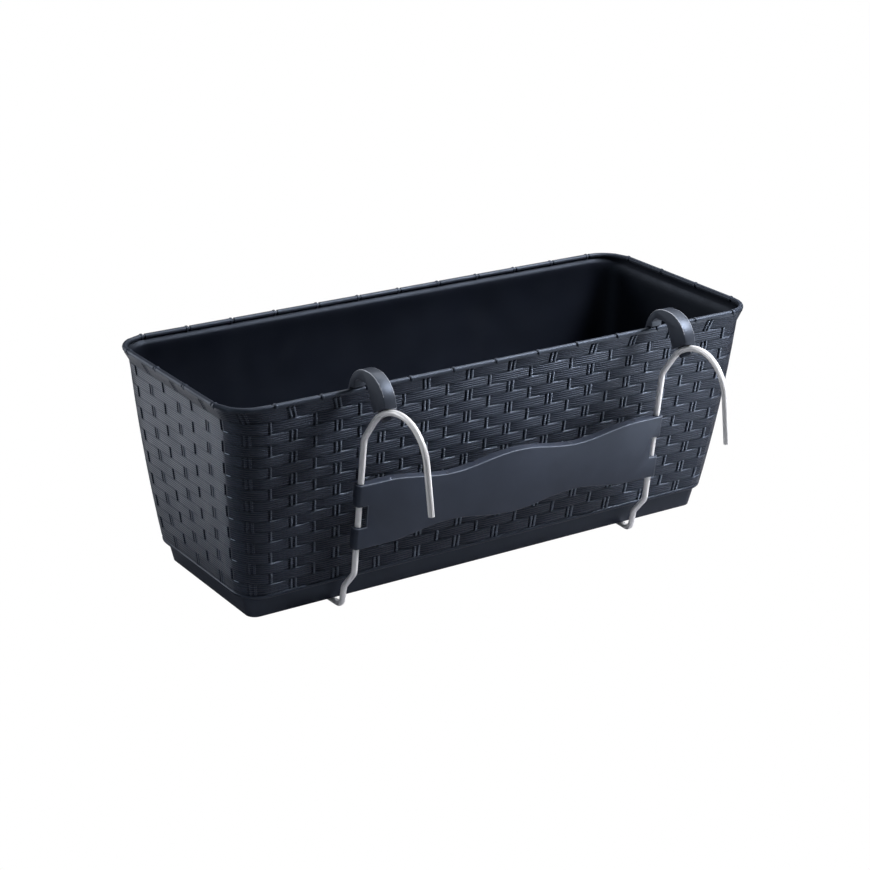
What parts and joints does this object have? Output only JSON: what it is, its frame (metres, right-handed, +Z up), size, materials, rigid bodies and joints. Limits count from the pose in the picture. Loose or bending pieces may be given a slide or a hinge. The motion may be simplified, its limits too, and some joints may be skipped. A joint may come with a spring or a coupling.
{
  "type": "balcony planter box",
  "caption": "Long tapered balcony planter with a woven-look wall, a shallow drip tray under it, and a wire railing hanger with rim clips and a wavy cross bar.",
  "frame": {"origin": "on the floor, under the middle of the box", "axes": "+X along the box, -Y towards the hanger's hooks, +Z up"},
  "size_m": [0.5146, 0.3049, 0.2143],
  "materials": {
    "woven_plastic": "satin anthracite, moulded wicker weave",
    "tray_plastic": "satin anthracite, smooth",
    "wire_steel": "bright zinc",
    "clip_plastic": "satin anthracite, smooth",
    "bar_plastic": "satin anthracite, smooth"
  },
  "bodies": {
    "box": {"planter_box": "woven_plastic", "drip_tray": "tray_plastic"},
    "hanger": {"hook_wire_left": "wire_steel", "hook_wire_right": "wire_steel", "rim_clip_left": "clip_plastic", "rim_clip_right": "clip_plastic"},
    "bar": {"cross_bar": "bar_plastic"}
  },
  "joints": [
    {"name": "hanger_swing", "type": "hinge", "parent": "box", "child": "hanger", "pos_m": [0, -0.09955, 0.1923], "axis": [-1, 0, 0], "range_deg": [0, 12]},
    {"name": "bar_slide", "type": "slide", "parent": "hanger", "child": "bar", "axis": [0, -0.1193, 0.9929], "range_m": [-0.018, 0.03]}
  ]
}
